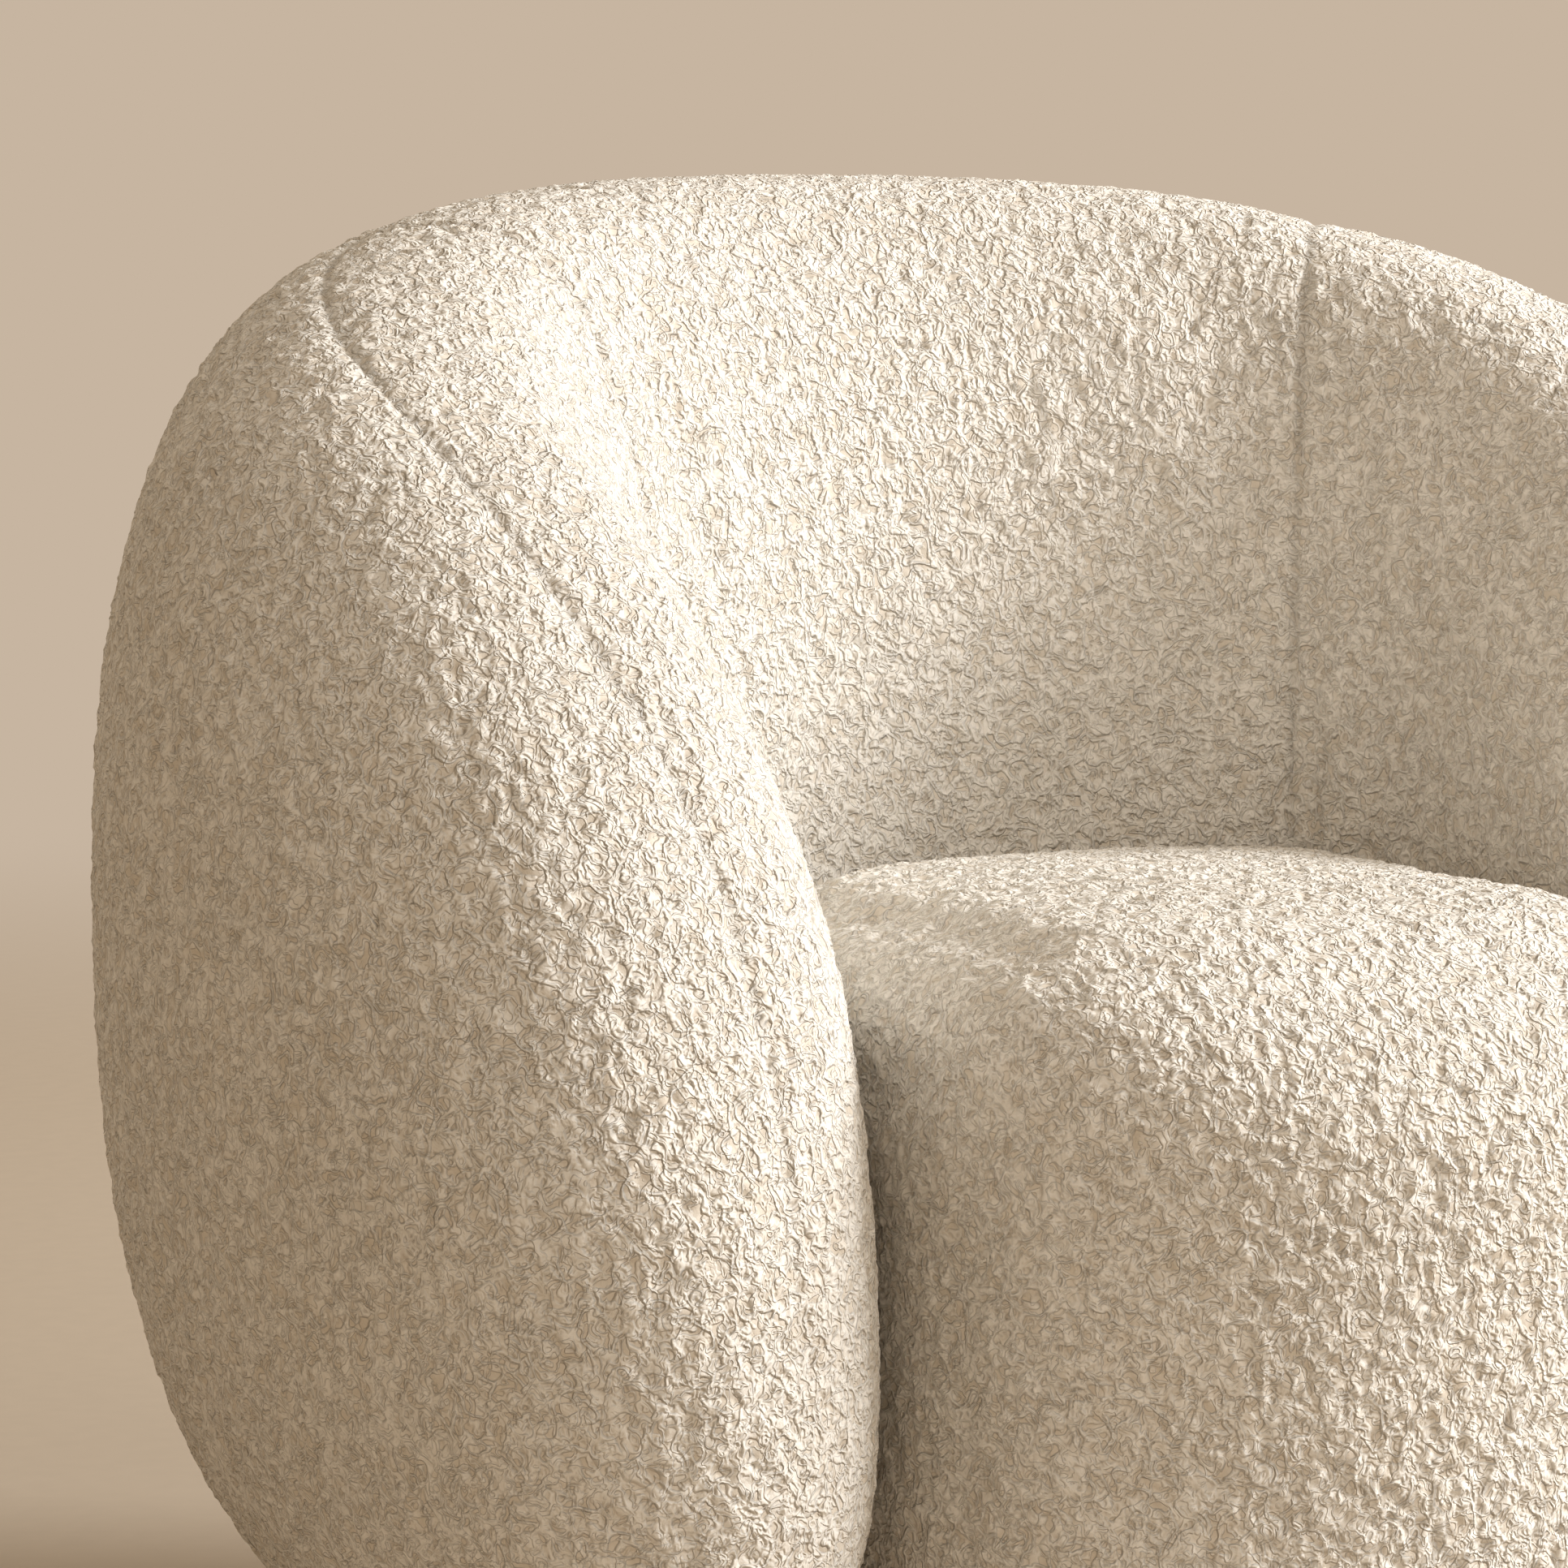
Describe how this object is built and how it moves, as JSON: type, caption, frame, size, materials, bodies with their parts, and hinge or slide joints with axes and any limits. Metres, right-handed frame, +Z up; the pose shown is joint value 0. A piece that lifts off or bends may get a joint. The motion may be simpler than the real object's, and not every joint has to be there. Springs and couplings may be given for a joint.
{
  "type": "upholstered barrel armchair",
  "caption": "Upholstered barrel armchair: a padded wall wraps from arm to arm round a thick bowed seat, on a recessed round swivel plinth.",
  "frame": {"origin": "on the floor, on the swivel axis, under the middle of the chair's bounding box", "axes": "+Z up, the sitter faces -Y, +X towards the sitter's left arm, which is on the right when the chair is seen from the front; the chair is symmetric about X = 0"},
  "size_m": [0.9484, 0.7218, 0.7508],
  "materials": {
    "boucle": "looped boucle, matt, raised curls",
    "foam": "open-cell foam",
    "lining": "thin non-woven cloth",
    "jute": "coarse plain weave",
    "plywood": "sawn birch ply",
    "beech": "planed beech",
    "hardboard": "smooth bent hardboard",
    "plinth_finish": "black stained, satin",
    "plated_steel": "zinc plated",
    "bright_steel": "drawn steel",
    "nylon": "moulded nylon",
    "glide": "moulded plastic with felt face"
  },
  "bodies": {
    "base": {"floor_glides": "glide", "plinth": "plinth_finish", "swivel_lower_plate": "plated_steel", "swivel_lower_screws": "bright_steel", "bearing_balls": "bright_steel", "ball_cage": "nylon", "pivot_pin": "bright_steel"},
    "chair": {"arm_post_left": "plywood", "arm_post_right": "plywood", "arm_rail_left": "plywood", "arm_rail_right": "plywood", "arm_rib_left": "plywood", "arm_rib_right": "plywood", "back_rib_centre": "plywood", "back_rib_left": "plywood", "back_rib_right": "plywood", "base_board": "plywood", "crest_rail": "plywood", "dust_cover": "lining", "inside_arm_cover_left": "boucle", "inside_arm_cover_right": "boucle", "inside_arm_foam_left": "foam", "inside_arm_foam_right": "foam", "inside_arm_panel_left": "hardboard", "inside_arm_panel_right": "hardboard", "inside_back_cover": "boucle", "inside_back_foam_centre": "foam", "inside_back_foam_left": "foam", "inside_back_foam_right": "foam", "inside_back_webbing": "jute", "outside_arm_cover_left": "boucle", "outside_arm_cover_right": "boucle", "outside_arm_foam_left": "foam", "outside_arm_foam_right": "foam", "outside_arm_panel_left": "hardboard", "outside_arm_panel_right": "hardboard", "outside_back_cover": "boucle", "outside_back_foam": "foam", "outside_back_panel": "hardboard", "seat_back_rail": "beech", "seat_corner_board_back_left": "beech", "seat_corner_board_back_right": "beech", "seat_corner_board_front_left": "beech", "seat_corner_board_front_right": "beech", "seat_cover": "boucle", "seat_foam": "foam", "seat_front_pad": "foam", "seat_front_rail": "beech", "seat_hessian": "jute", "seat_side_rail_left": "beech", "seat_side_rail_right": "beech", "seat_springs": "bright_steel", "side_rib_left": "plywood", "side_rib_right": "plywood", "spring_clips": "bright_steel", "swivel_upper_bolts": "bright_steel", "swivel_upper_plate": "plated_steel"}
  },
  "joints": [
    {"name": "swivel", "type": "hinge", "parent": "base", "child": "chair", "pos_m": [0, 0, 0.058], "axis": [0, 0, 1], "continuous": true}
  ]
}
